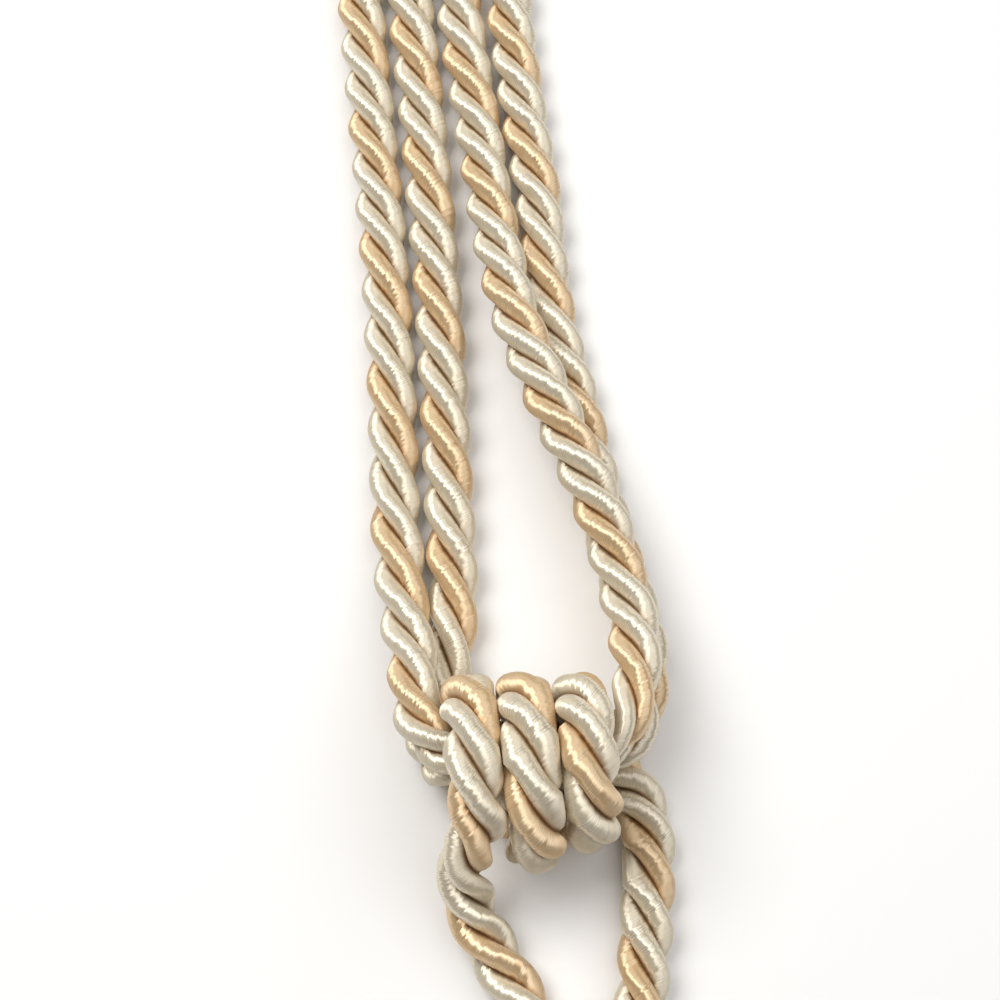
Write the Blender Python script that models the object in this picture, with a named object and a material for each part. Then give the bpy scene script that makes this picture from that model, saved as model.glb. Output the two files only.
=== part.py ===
"""Curtain tieback with tassel, lying on a flat surface.

A three-ply twisted cord makes two long loops. A second cord of the same make is wrapped
three times round the middle of the loops, and its two ends run down into a tassel.
Lengths in this file are millimetres. MM turns them into metres as each mesh is made.
+Y runs from the knot to the far end of the loops, +Z is up, and the origin is on the
surface, where the middle of the knot rests on it.
"""
import math

import bmesh
import bpy
import numpy as np

MM = 0.001

# ---- the twisted cord ----
CORD_RADIUS = 5.2
LAY = 31.0  # length in which a ply goes once round the cord, where it runs straight
WRAP_LAY = 26.0  # the same in the wrapped cord, which is pulled tighter
PLIES = 3
POINTS_PER_PLY = 3
PLY_SHAPE = (0.98, 0.98, 0.62)  # two points on a ply's back, then the groove beside it
REST_HEIGHT = 4.75  # centre of a cord that lies on the surface
PRESSED_FLAT = 0.4  # what comes closer to the surface than this is flat on it

# ---- the knot ----
WRAPS = 3
WRAP_PITCH = 10.5
WRAP_BEND = 13.7  # radius of a wrap, to the middle of the cord
WRAP_CENTRE_HEIGHT = 18.0
WRAP_MIDDLE_RADIUS = 4.97
WRAP_FRONT_SWELL = 0.20  # the cord is plumper over the knot and flatter under it
WRAP_SLANT = 3.485
LAST_WRAP_DRAWN_IN = 4.2  # how far the last wrap's lower side is pulled in
GRIPPED = 0.74  # share of its radius that the looped cord keeps inside the wraps

# ---- the tassel ----
TASSEL_X = 17.0
HEAD_TOP_Y = -81.3
HEAD_AXIS_HEIGHT = 17.5
GAP = 0.3
HEAD_SIDES = 28
NECK_RADIUS = 12.3
SKIRT_RADIUS = 12.6  # of the bunch of strands where it leaves the head
STRAND_PITCH = 2.5
STRAND_RADIUS = 1.15
STRAND_LENGTH = 104.0
STRAND_STEPS = 5
ROOT_DEPTH = 1.2  # how far a strand's root is sunk in the head
SHORTER_UNDER = 7.0  # how much shorter the lowest strands are than the top ones
DOWN_BY = 0.62  # share of a strand's length where it has come down to lie flat
SKIRT_SPREAD = 2.05  # width of the skirt's end over its width at the head
LAYER_HEIGHT = 1.35  # of one layer of strands, where they lie on the surface

# Outline of the head: distance along the tassel from the top of the head, and radius.
HEAD_OUTLINE = (
    (0.0, 10.6),
    (0.9, 11.8),
    (3.4, 12.4),
    (6.0, 11.8),
    (7.2, 10.6),
    (8.6, 11.4),
    (10.8, 14.2),
    (14.4, 16.6),
    (19.4, 17.75),
    (24.0, 17.8),
    (28.8, 16.9),
    (32.6, 14.9),
    (35.0, 12.3),
    (43.4, 12.3),
    (43.8, 13.6),
    (46.6, 13.9),
    (47.4, 13.3),
)
NECK_FROM, NECK_TO = 35.6, 42.9  # the stretch of the neck that the binding covers
BINDING_RIBS = 3
BINDING_THICKNESS = 2.5

# Route of the looped cord, as x, y, z and the share of its radius that it keeps.
# It starts in the middle of the knot, runs up the right loop and back over itself through
# the knot, up the left loop and back to the middle.
RIGHT_LOOP_UP = (
    (6.0, 0.6, 13.6, GRIPPED),
    (11.0, 1.4, 13.6, GRIPPED),
    (15.5, 2.6, 13.9, GRIPPED),
    (21.0, 4.4, 14.3, 0.78),
    (24.9, 8.0, 13.2, 0.84),
    (26.8, 14.2, 10.8, 0.92),
    (27.7, 22.0, 8.4, 0.98),
    (27.2, 29.5, 6.4, 1.0),
    (25.2, 38.0, 5.4, 1.0),
    (22.0, 49.3, REST_HEIGHT, 1.0),
    (18.0, 65.6, REST_HEIGHT, 1.0),
    (14.7, 80.9, REST_HEIGHT, 1.0),
    (10.9, 95.9, REST_HEIGHT, 1.0),
    (8.9, 110.4, REST_HEIGHT, 1.0),
    (7.7, 125.4, REST_HEIGHT, 1.0),
    (4.2, 149.6, REST_HEIGHT, 1.0),
    (1.5, 174.6, REST_HEIGHT, 1.0),
    (2.0, 210.0, REST_HEIGHT, 1.0),
    (8.5, 260.0, REST_HEIGHT, 1.0),
    (18.0, 320.0, REST_HEIGHT, 1.0),
    (24.5, 368.0, REST_HEIGHT, 1.0),
    (26.2, 393.0, REST_HEIGHT, 1.0),
)
RIGHT_LOOP_END = (
    (24.2, 403.2, REST_HEIGHT, 1.0),
    (19.6, 409.8, REST_HEIGHT, 1.0),
    (13.2, 412.4, REST_HEIGHT, 1.0),
    (6.6, 409.8, REST_HEIGHT, 1.0),
    (1.8, 403.0, REST_HEIGHT, 1.0),
)
RIGHT_LOOP_DOWN = (
    (-0.2, 392.0, REST_HEIGHT, 1.0),
    (-0.8, 368.0, REST_HEIGHT, 1.0),
    (-4.6, 320.0, REST_HEIGHT, 1.0),
    (-10.1, 260.0, REST_HEIGHT, 1.0),
    (-11.9, 210.0, REST_HEIGHT, 1.0),
    (-9.6, 174.6, REST_HEIGHT, 1.0),
    (-5.1, 141.8, 5.6, 1.0),
    (-1.0, 113.6, 9.4, 1.0),
    (2.9, 94.5, 12.6, 1.0),
    (8.6, 78.5, 14.8, 1.0),
    (14.8, 63.5, 15.5, 1.0),
    (19.6, 51.2, 15.5, 1.0),
    (22.5, 40.5, 15.9, 1.0),
    (25.1, 28.0, 17.9, 1.0),
    (25.4, 19.5, 20.3, 0.96),
    (24.7, 13.2, 22.2, 0.82),
    (23.0, 8.2, 22.9, 0.80),
    (19.7, 4.8, 22.4, 0.76),
    (15.7, 3.0, 21.7, GRIPPED),
)
THROUGH_THE_KNOT = (
    (10.0, 1.6, 21.6, GRIPPED),
    (4.0, 0.8, 21.6, GRIPPED),
    (-2.0, 0.6, 21.6, GRIPPED),
    (-7.0, 1.4, 21.7, 0.78),
)
LEFT_LOOP_UP = (
    (-11.4, 3.8, 21.4, 0.86),
    (-14.9, 8.0, 19.9, 0.90),
    (-16.6, 14.0, 17.2, 0.94),
    (-17.2, 21.8, 14.2, 1.0),
    (-18.6, 30.0, 11.2, 1.0),
    (-19.9, 38.0, 8.4, 1.0),
    (-20.9, 48.0, 5.7, 1.0),
    (-21.8, 57.8, REST_HEIGHT, 1.0),
    (-22.2, 68.6, REST_HEIGHT, 1.0),
    (-24.1, 102.1, REST_HEIGHT, 1.0),
    (-27.5, 137.4, REST_HEIGHT, 1.0),
    (-31.2, 174.6, REST_HEIGHT, 1.0),
    (-33.8, 210.0, REST_HEIGHT, 1.0),
    (-35.2, 260.0, REST_HEIGHT, 1.0),
    (-36.4, 320.0, REST_HEIGHT, 1.0),
    (-38.0, 368.0, REST_HEIGHT, 1.0),
    (-38.6, 391.0, REST_HEIGHT, 1.0),
)
LEFT_LOOP_END = (
    (-36.8, 401.6, REST_HEIGHT, 1.0),
    (-32.2, 408.6, REST_HEIGHT, 1.0),
    (-25.8, 411.4, REST_HEIGHT, 1.0),
    (-19.3, 408.8, REST_HEIGHT, 1.0),
    (-14.6, 402.0, REST_HEIGHT, 1.0),
)
LEFT_LOOP_DOWN = (
    (-12.9, 391.0, REST_HEIGHT, 1.0),
    (-13.0, 368.0, REST_HEIGHT, 1.0),
    (-16.4, 320.0, REST_HEIGHT, 1.0),
    (-21.4, 260.0, REST_HEIGHT, 1.0),
    (-22.9, 210.0, REST_HEIGHT, 1.0),
    (-20.3, 174.6, REST_HEIGHT, 1.0),
    (-16.5, 137.4, REST_HEIGHT, 1.0),
    (-13.3, 102.1, REST_HEIGHT, 1.0),
    (-11.3, 68.6, REST_HEIGHT, 1.0),
    (-10.3, 50.0, REST_HEIGHT, 1.0),
    (-9.8, 38.0, REST_HEIGHT, 1.0),
    (-10.2, 29.0, REST_HEIGHT, 1.0),
    (-11.8, 20.5, REST_HEIGHT, 1.0),
    (-13.5, 13.0, 5.0, 0.98),
    (-13.8, 7.6, 6.2, 0.93),
    (-12.2, 3.4, 9.2, 0.86),
    (-8.6, 1.2, 12.4, 0.78),
    (-4.0, 0.5, 13.5, GRIPPED),
    (0.5, 0.4, 13.6, GRIPPED),
    (4.8, 0.6, 13.6, GRIPPED),
)

# Routes of the hanging cord's two ends, between the tassel and the wraps.
TAIL_TO_FIRST_WRAP = (
    (11.65, -80.8, 17.5, 1.0),
    (11.65, -79.0, 17.5, 1.0),
    (11.6, -75.0, 16.9, 1.0),
    (11.5, -70.5, 14.6, 1.0),
    (11.2, -65.5, 11.3, 1.0),
    (10.3, -59.5, 7.9, 1.0),
    (8.2, -51.5, 5.5, 1.0),
    (3.6, -40.5, REST_HEIGHT, 1.0),
    (-2.0, -31.0, 5.2, 1.0),
    (-5.4, -24.6, 7.6, 1.0),
    (-7.0, -19.2, 12.4, 1.0),
    (-6.6, -15.6, 18.8, 0.97),
)
TAIL_FROM_LAST_WRAP = (
    (20.9, 4.4, 5.2, 0.96),
    (23.5, 0.9, REST_HEIGHT, 0.98),
    (25.7, -1.9, REST_HEIGHT, 1.0),
    (27.4, -6.2, REST_HEIGHT, 1.0),
    (28.2, -12.2, REST_HEIGHT, 1.0),
    (27.6, -23.6, REST_HEIGHT, 1.0),
    (26.6, -34.5, REST_HEIGHT, 1.0),
    (26.1, -40.5, REST_HEIGHT, 1.0),
    (24.4, -51.5, 5.5, 1.0),
    (23.3, -59.5, 7.9, 1.0),
    (22.6, -65.5, 11.3, 1.0),
    (22.4, -70.5, 14.6, 1.0),
    (22.35, -75.0, 16.9, 1.0),
    (22.35, -79.0, 17.5, 1.0),
    (22.35, -80.8, 17.5, 1.0),
)
FIRST_WRAP_ANGLE, LAST_WRAP_ANGLE = 35.0, 960.0  # where the tails meet the wraps
WRAP_ANGLE_STEP = 18.5

# Turn of the twist at the start of each cord, in degrees.
LOOP_TWIST = 0.0
HANGING_TWIST = -19.0


def clear_scene():
    for item in list(bpy.data.objects):
        bpy.data.objects.remove(item, do_unlink=True)


def material(name, colour, roughness):
    """A satin thread: its colour and how rough it is."""
    made = bpy.data.materials.new(name)
    made.use_nodes = True
    shader = made.node_tree.nodes["Principled BSDF"]
    shader.inputs["Base Color"].default_value = (*colour, 1.0)
    shader.inputs["Roughness"].default_value = roughness
    shader.inputs["Metallic"].default_value = 0.0
    return made


def new_object(name, points, faces, finish):
    """A mesh object from points in millimetres."""
    mesh = bpy.data.meshes.new(name)
    mesh.from_pydata([tuple(p) for p in np.asarray(points) * MM], [], faces)
    mesh.update()
    mesh.materials.append(finish)
    mesh.shade_smooth()
    made = bpy.data.objects.new(name, mesh)
    bpy.context.scene.collection.objects.link(made)
    return made


def smooth_route(rows, step=0.5):
    """A smooth curve through the rows, as points a step apart. Each row is x, y, z, share of radius."""
    rows = np.array(rows, float)
    rows = np.vstack([2 * rows[0] - rows[1], rows, 2 * rows[-1] - rows[-2]])
    knots = np.zeros(len(rows))
    knots[1:] = np.cumsum(np.sqrt(np.linalg.norm(np.diff(rows[:, :3], axis=0), axis=1)))
    dense = []
    for k in range(1, len(rows) - 2):
        t0, t1, t2, t3 = knots[k - 1 : k + 3]
        p0, p1, p2, p3 = rows[k - 1 : k + 3]
        for t in np.linspace(t1, t2, 24, endpoint=False):
            a1 = ((t1 - t) * p0 + (t - t0) * p1) / (t1 - t0)
            a2 = ((t2 - t) * p1 + (t - t1) * p2) / (t2 - t1)
            a3 = ((t3 - t) * p2 + (t - t2) * p3) / (t3 - t2)
            b1 = ((t2 - t) * a1 + (t - t0) * a2) / (t2 - t0)
            b2 = ((t3 - t) * a2 + (t - t1) * a3) / (t3 - t1)
            dense.append(((t2 - t) * b1 + (t - t1) * b2) / (t2 - t1))
    dense = np.array(dense + [rows[-2]])
    along = np.zeros(len(dense))
    along[1:] = np.cumsum(np.linalg.norm(np.diff(dense[:, :3], axis=0), axis=1))
    stations = np.linspace(0, along[-1], max(2, round(along[-1] / step)) + 1)
    return np.column_stack([np.interp(stations, along, dense[:, c]) for c in range(4)]), stations


def sections(route, stations, twist_step):
    """Stations picked so that the twist goes on by the same angle from each to the next."""
    turned = np.zeros(len(stations))
    lay = np.interp(route[:, 3], (GRIPPED, 1.0), (WRAP_LAY, LAY))
    turned[1:] = np.cumsum(np.diff(stations) * 360.0 / lay[1:])
    count = round(turned[-1] / twist_step)
    picked = np.interp(np.linspace(0, turned[-1], count + 1), turned, stations)
    return np.column_stack([np.interp(picked, stations, route[:, c]) for c in range(4)])


def carried_frames(line):
    """Directions along and across a line, turned no more than the line itself turns."""
    along = np.gradient(line, axis=0)
    along /= np.linalg.norm(along, axis=1)[:, None]
    across = [np.cross(along[0], (0.0, 0.0, 1.0))]
    across[0] /= np.linalg.norm(across[0])
    for k in range(1, len(line)):
        kept = across[-1] - along[k] * (across[-1] @ along[k])
        across.append(kept / np.linalg.norm(kept))
    across = np.array(across)
    return across, np.cross(along, across)


def pressed_flat(points):
    """The same points, with the lowest ones level on the surface."""
    points = np.array(points)
    points[points[:, 2] < PRESSED_FLAT, 2] = 0.0
    return points


def twisted_cord(name, rows, twist, finish):
    """A cord of three plies, twisted to the left, whose underside is flat on the surface."""
    sides = PLIES * POINTS_PER_PLY
    twist_step = 360.0 / sides
    route = sections(*smooth_route(rows), twist_step)
    centre, radius = route[:, :3], route[:, 3] * CORD_RADIUS
    across, over = carried_frames(centre)
    points = []
    for k in range(len(centre)):
        for side in range(sides):
            angle = math.radians(twist + twist_step * side)
            reach = radius[k] * PLY_SHAPE[(side + k) % POINTS_PER_PLY]
            points.append(centre[k] + reach * (math.cos(angle) * across[k] + math.sin(angle) * over[k]))
    points = pressed_flat(points)
    faces = []
    for k in range(len(centre) - 1):
        for side in range(sides):
            a, b = k * sides + side, k * sides + (side + 1) % sides
            faces += [(a, b, a + sides), (b, b + sides, a + sides)]
    first, last = len(points), len(points) + 1
    points = np.vstack([points, centre[0], centre[-1]])
    top = (len(centre) - 1) * sides
    for side in range(sides):
        after = (side + 1) % sides
        faces += [(first, after, side), (last, top + side, top + after)]
    return new_object(name, points, faces, finish)


def wrap_point(angle):
    """A point of the wraps, from the angle turned since the underside of the first one."""
    turn = math.radians(angle)
    whole = WRAPS - 1
    drawn = LAST_WRAP_DRAWN_IN / 2 * min(1.0, max(0.0, (angle - 360.0 * whole + 110.0) / 110.0))
    x = WRAP_PITCH * (turn / (2 * math.pi) - 0.75)
    x += WRAP_SLANT * (math.cos(turn) + math.cos(3 * turn) / 12)
    y = drawn - (WRAP_BEND - drawn) * math.cos(turn)
    rise = WRAP_BEND - 0.15 * drawn * max(0.0, math.sin(turn))
    z = WRAP_CENTRE_HEIGHT + rise * math.sin(turn)
    radius = WRAP_MIDDLE_RADIUS + WRAP_FRONT_SWELL * math.sin(turn)
    return x, y, z, radius / CORD_RADIUS


def wraps():
    count = round((LAST_WRAP_ANGLE - FIRST_WRAP_ANGLE) / WRAP_ANGLE_STEP)
    return tuple(wrap_point(a) for a in np.linspace(FIRST_WRAP_ANGLE, LAST_WRAP_ANGLE, count + 1))


def turned_solid(outline, closed):
    """Points and faces of a shape turned about the tassel's axis; closed joins its last row to its first."""
    points = []
    for distance, radius in outline:
        for side in range(HEAD_SIDES):
            angle = 2 * math.pi * side / HEAD_SIDES
            height = HEAD_AXIS_HEIGHT + radius * math.sin(angle)
            points.append((TASSEL_X + radius * math.cos(angle), HEAD_TOP_Y - distance, height))
    faces = []
    rows = len(outline)
    for row in range(rows if closed else rows - 1):
        below, above = row * HEAD_SIDES, (row + 1) % rows * HEAD_SIDES
        for side in range(HEAD_SIDES):
            after = (side + 1) % HEAD_SIDES
            faces.append((below + side, above + side, above + after, below + after))
    if not closed:
        faces.append(tuple(range(HEAD_SIDES)))
        faces.append(tuple(reversed(range((rows - 1) * HEAD_SIDES, rows * HEAD_SIDES))))
    return pressed_flat(points), faces


def strand_roots():
    """Where the strands leave the head: across and up from the tassel's axis, and the layer they lie in."""
    rows = int(SKIRT_RADIUS / STRAND_PITCH) + 2
    row_pitch = STRAND_PITCH * math.sqrt(3) / 2
    reach = SKIRT_RADIUS - STRAND_RADIUS
    roots = []
    for column in range(-2 * rows, 2 * rows + 1):
        across = column * STRAND_PITCH / 2
        if abs(across) <= reach:
            inside = [row for row in range(-rows, rows + 1) if math.hypot(across, row * row_pitch) <= reach]
            staggered = [row for row in inside if (row - column) % 2 == 0]
            roots += [(across, row * row_pitch, row - staggered[0] + column % 2) for row in staggered]
    return roots


def strand_line(across, up, layer):
    """The middle of a strand: it leaves the head level, spreads, and comes down to lie flat."""
    rest = STRAND_RADIUS / 2 + LAYER_HEIGHT * layer
    start = HEAD_TOP_Y - HEAD_OUTLINE[-1][0] + ROOT_DEPTH
    length = STRAND_LENGTH - SHORTER_UNDER * (1 - up / SKIRT_RADIUS) / 2
    line = []
    for share in np.linspace(0, 1, STRAND_STEPS + 1):
        spread = 1 + (SKIRT_SPREAD - 1) * share**1.1
        drop = min(1.0, share / DOWN_BY)
        drop = drop * drop * (3 - 2 * drop)
        height = (HEAD_AXIS_HEIGHT + up) * (1 - drop) + rest * drop
        line.append((TASSEL_X + across * spread, start - length * share, height))
    return line


def skirt_mesh():
    """All the strands, three-sided and standing apart."""
    points, faces = [], []
    corners = [math.radians(a) for a in (90, 210, 330)]
    for root in strand_roots():
        first = len(points)
        line = strand_line(*root)
        for x, y, z in line:
            points += [(x + STRAND_RADIUS * math.cos(c), y, z + STRAND_RADIUS * math.sin(c)) for c in corners]
        for k in range(len(line) - 1):
            for side in range(3):
                a, b = first + 3 * k + side, first + 3 * k + (side + 1) % 3
                faces.append((a, a + 3, b + 3, b))
        last = len(points) - 3
        faces += [(first, first + 1, first + 2), (last + 2, last + 1, last)]
    return points, faces


def tassel(finish):
    """The head, and the skirt of strands whose roots are sunk in it."""
    head = new_object("tassel", *turned_solid(HEAD_OUTLINE, closed=False), finish)
    skirt = new_object("skirt_strands", *skirt_mesh(), finish)
    skirt.hide_render = True
    skirt.display_type = "WIRE"
    for item in (head, skirt):
        outward(item)
    join = head.modifiers.new("skirt", "BOOLEAN")
    join.operation = "UNION"
    join.solver = "EXACT"
    join.object = skirt
    return head


def outward(item):
    """Point the faces of an object's mesh outwards."""
    shape = bmesh.new()
    shape.from_mesh(item.data)
    bmesh.ops.recalc_face_normals(shape, faces=shape.faces)
    shape.to_mesh(item.data)
    shape.free()


def binding(finish):
    """The cord wound round the tassel's neck, as one ribbed ring."""
    inner = NECK_RADIUS + GAP
    rib = (NECK_TO - NECK_FROM) / BINDING_RIBS
    outline = [(NECK_TO, inner), (NECK_FROM, inner)]
    for k in range(BINDING_RIBS):
        for share, height in ((0.02, 0.45), (0.25, 0.92), (0.5, 1.0), (0.75, 0.92), (0.98, 0.45)):
            outline.append((NECK_FROM + rib * (k + share), inner + BINDING_THICKNESS * height))
    made = new_object("neck_binding", *turned_solid(outline, closed=True), finish)
    outward(made)
    return made


def build():
    clear_scene()
    ivory = material("ivory_satin", (0.80, 0.74, 0.62), 0.35)
    gold = material("gold_satin", (0.72, 0.50, 0.28), 0.35)
    loops = RIGHT_LOOP_UP + RIGHT_LOOP_END + RIGHT_LOOP_DOWN + THROUGH_THE_KNOT
    loops += LEFT_LOOP_UP + LEFT_LOOP_END + LEFT_LOOP_DOWN
    twisted_cord("loop_cord", loops, LOOP_TWIST, ivory)
    hanging = TAIL_TO_FIRST_WRAP + wraps() + TAIL_FROM_LAST_WRAP
    twisted_cord("hanging_cord", hanging, HANGING_TWIST, ivory)
    tassel(ivory)
    binding(gold)


build()
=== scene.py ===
import math

import bpy
import numpy as np
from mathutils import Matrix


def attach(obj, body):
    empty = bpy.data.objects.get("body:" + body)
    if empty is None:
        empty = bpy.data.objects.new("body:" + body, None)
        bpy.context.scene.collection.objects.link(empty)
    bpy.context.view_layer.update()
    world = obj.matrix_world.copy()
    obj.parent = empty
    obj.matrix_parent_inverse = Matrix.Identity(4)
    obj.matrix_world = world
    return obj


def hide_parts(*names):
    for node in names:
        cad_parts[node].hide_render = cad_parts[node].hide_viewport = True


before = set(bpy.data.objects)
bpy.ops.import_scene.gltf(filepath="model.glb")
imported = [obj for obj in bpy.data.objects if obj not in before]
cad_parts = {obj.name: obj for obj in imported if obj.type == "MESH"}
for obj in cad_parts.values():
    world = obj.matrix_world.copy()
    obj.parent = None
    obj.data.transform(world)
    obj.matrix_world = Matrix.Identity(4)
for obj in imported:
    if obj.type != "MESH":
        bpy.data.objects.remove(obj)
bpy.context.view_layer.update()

# A curtain tieback of twisted satin cord: two long loops, a knot of three wraps, and a tassel.
# It lies on a pale floor. +Y runs from the knot to the far end of the loops, and +Z is up.
# Lengths are millimetres, as the routes are, and MM turns them into metres.
MM = 0.001

# ---- the camera ----
CAMERA_AT = (-0.366, -67.519, 379.788)
CAMERA_TILT = 18.5  # degrees from straight down
LENS = 70.2
SENSOR_WIDTH = 36.0

# ---- the floor and the wall round it, which are pale as far as one sees ----
FLOOR_SIZE = 40000.0
WALL_HEIGHT = 14000.0
WALL_SIDES = 48
FLOOR_COLOUR = (0.84, 0.84, 0.845)
FLOOR_ROUGHNESS = 0.6
LIT_TO = 350.0  # so far from the knot the lights alone make the floor pale
PALE_FROM = 2200.0  # from here on it is as pale by itself as it gets
FLOOR_GLOW = 0.78
WALL_GLOW = 0.49

# ---- the light ----
ROOM_COLOUR = (1.0, 0.93, 0.84, 1.0)
ROOM_LIGHT = 0.12
LIGHTS = (
    # name, where it stands, what it points at, its size, watts, colour
    ("window", (-440.0, 330.0, 880.0), (0.0, 40.0, 0.0), (580.0, 660.0), 9.2, (1.0, 0.985, 0.96)),
    ("ceiling", (720.0, 340.0, 1000.0), (720.0, 340.0, 0.0), (1800.0, 1500.0), 12.1, (1.0, 1.0, 1.0)),
)

# ---- the twisted cord: three plies, drawn as three lobes on one closed outline ----
CORD_RADIUS = 5.2
PLIES = 3
LOBE_RADIUS = 2.62  # of the round back of a ply
LOBE_POINTS = 12
RING_STEP = 1.0
ROUTE_DENSITY = 24  # points worked out between two rows of a route
PLY_SHIFT = 1000.0  # keeps the thread pattern of one ply apart from the next one's
REST_HEIGHT = 4.75  # centre of a cord that lies on the surface
UNEVEN = 0.018  # how much a ply swells and thins along its length, as a share of the radius
SWELL_LENGTHS = (23.0, 37.0, 61.0)
CORD_CREASE = 45.0  # degrees between faces from which an edge stays sharp
LOOP_SEED, HANGING_SEED, NECK_SEED = 11, 23, 37

# ---- the knot ----
WRAPS = 3
WRAP_PITCH = 10.5
WRAP_BEND = 13.7  # radius of a wrap, to the middle of the cord
WRAP_CENTRE_HEIGHT = 18.0
WRAP_MIDDLE_RADIUS = 4.97
WRAP_FRONT_SWELL = 0.20  # the cord is plumper over the knot and flatter under it
WRAP_SLANT = 3.485  # half of how far a wrap leans from its lower to its upper side
SLANT_FLATTENING = 12.0  # the lower, the less a wrap slants over the front of the knot
FIRST_WRAP_FROM = 0.75  # turns from the start of the first wrap to the middle of the knot
LAST_WRAP_DRAWN_IN = 4.2  # how far the last wrap's lower side is pulled in
DRAWN_IN_OVER = 110.0  # degrees
DRAWN_IN_FLATTER = 0.15
WRAP_PLUMPNESS = 1.04  # how far the plies of the wraps swell past the plain cord
PRESSED_FILL = 0.85  # how nearly the wraps fill the space between them
PRESSED_OVER = 12.0  # length of cord over which the pressing sets in
UNPRESSED = 0.05  # share of a turn that is free of its neighbour at a wrap's ends
TAIL_LENGTH = 92.0  # of the hanging cord before its first wrap
GRIPPED = 0.74  # share of its radius that the looped cord keeps inside the wraps
FIRST_WRAP_ANGLE, LAST_WRAP_ANGLE = 35.0, 960.0  # where the tails meet the wraps
WRAP_ANGLE_STEP = 18.5

# Route of the looped cord, as x, y, z and the share of its radius that it keeps.
# It starts in the middle of the knot, runs up the right loop and back over itself through
# the knot, up the left loop and back to the middle.
RIGHT_LOOP_UP = (
    (6.0, 0.6, 13.6, GRIPPED),
    (11.0, 1.4, 13.6, GRIPPED),
    (15.5, 2.6, 13.9, GRIPPED),
    (21.0, 4.4, 14.3, 0.78),
    (24.9, 8.0, 13.2, 0.84),
    (26.8, 14.2, 10.8, 0.92),
    (27.7, 22.0, 8.4, 0.98),
    (27.2, 29.5, 6.4, 1.0),
    (25.2, 38.0, 5.4, 1.0),
    (22.0, 49.3, REST_HEIGHT, 1.0),
    (18.0, 65.6, REST_HEIGHT, 1.0),
    (14.7, 80.9, REST_HEIGHT, 1.0),
    (10.9, 95.9, REST_HEIGHT, 1.0),
    (8.9, 110.4, REST_HEIGHT, 1.0),
    (7.7, 125.4, REST_HEIGHT, 1.0),
    (4.2, 149.6, REST_HEIGHT, 1.0),
    (1.5, 174.6, REST_HEIGHT, 1.0),
    (2.0, 210.0, REST_HEIGHT, 1.0),
    (8.5, 260.0, REST_HEIGHT, 1.0),
    (18.0, 320.0, REST_HEIGHT, 1.0),
    (24.5, 368.0, REST_HEIGHT, 1.0),
    (26.2, 393.0, REST_HEIGHT, 1.0),
)
RIGHT_LOOP_END = (
    (24.2, 403.2, REST_HEIGHT, 1.0),
    (19.6, 409.8, REST_HEIGHT, 1.0),
    (13.2, 412.4, REST_HEIGHT, 1.0),
    (6.6, 409.8, REST_HEIGHT, 1.0),
    (1.8, 403.0, REST_HEIGHT, 1.0),
)
RIGHT_LOOP_DOWN = (
    (-0.2, 392.0, REST_HEIGHT, 1.0),
    (-0.8, 368.0, REST_HEIGHT, 1.0),
    (-4.6, 320.0, REST_HEIGHT, 1.0),
    (-10.1, 260.0, REST_HEIGHT, 1.0),
    (-11.9, 210.0, REST_HEIGHT, 1.0),
    (-9.6, 174.6, REST_HEIGHT, 1.0),
    (-5.1, 141.8, 5.6, 1.0),
    (-1.0, 113.6, 9.4, 1.0),
    (2.9, 94.5, 12.6, 1.0),
    (8.6, 78.5, 14.8, 1.0),
    (14.8, 63.5, 15.5, 1.0),
    (19.6, 51.2, 15.5, 1.0),
    (22.5, 40.5, 15.9, 1.0),
    (25.1, 28.0, 17.9, 1.0),
    (25.4, 19.5, 20.3, 0.96),
    (24.7, 13.2, 22.2, 0.82),
    (23.0, 8.2, 22.9, 0.80),
    (19.7, 4.8, 22.4, 0.76),
    (15.7, 3.0, 21.7, GRIPPED),
)
THROUGH_THE_KNOT = (
    (10.0, 1.6, 21.6, GRIPPED),
    (4.0, 0.8, 21.6, GRIPPED),
    (-2.0, 0.6, 21.6, GRIPPED),
    (-7.0, 1.4, 21.7, 0.78),
)
LEFT_LOOP_UP = (
    (-11.4, 3.8, 21.4, 0.86),
    (-14.9, 8.0, 19.9, 0.90),
    (-16.6, 14.0, 17.2, 0.94),
    (-17.2, 21.8, 14.2, 1.0),
    (-18.6, 30.0, 11.2, 1.0),
    (-19.9, 38.0, 8.4, 1.0),
    (-20.9, 48.0, 5.7, 1.0),
    (-21.8, 57.8, REST_HEIGHT, 1.0),
    (-22.2, 68.6, REST_HEIGHT, 1.0),
    (-24.1, 102.1, REST_HEIGHT, 1.0),
    (-27.5, 137.4, REST_HEIGHT, 1.0),
    (-31.2, 174.6, REST_HEIGHT, 1.0),
    (-33.8, 210.0, REST_HEIGHT, 1.0),
    (-35.2, 260.0, REST_HEIGHT, 1.0),
    (-36.4, 320.0, REST_HEIGHT, 1.0),
    (-38.0, 368.0, REST_HEIGHT, 1.0),
    (-38.6, 391.0, REST_HEIGHT, 1.0),
)
LEFT_LOOP_END = (
    (-36.8, 401.6, REST_HEIGHT, 1.0),
    (-32.2, 408.6, REST_HEIGHT, 1.0),
    (-25.8, 411.4, REST_HEIGHT, 1.0),
    (-19.3, 408.8, REST_HEIGHT, 1.0),
    (-14.6, 402.0, REST_HEIGHT, 1.0),
)
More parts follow.
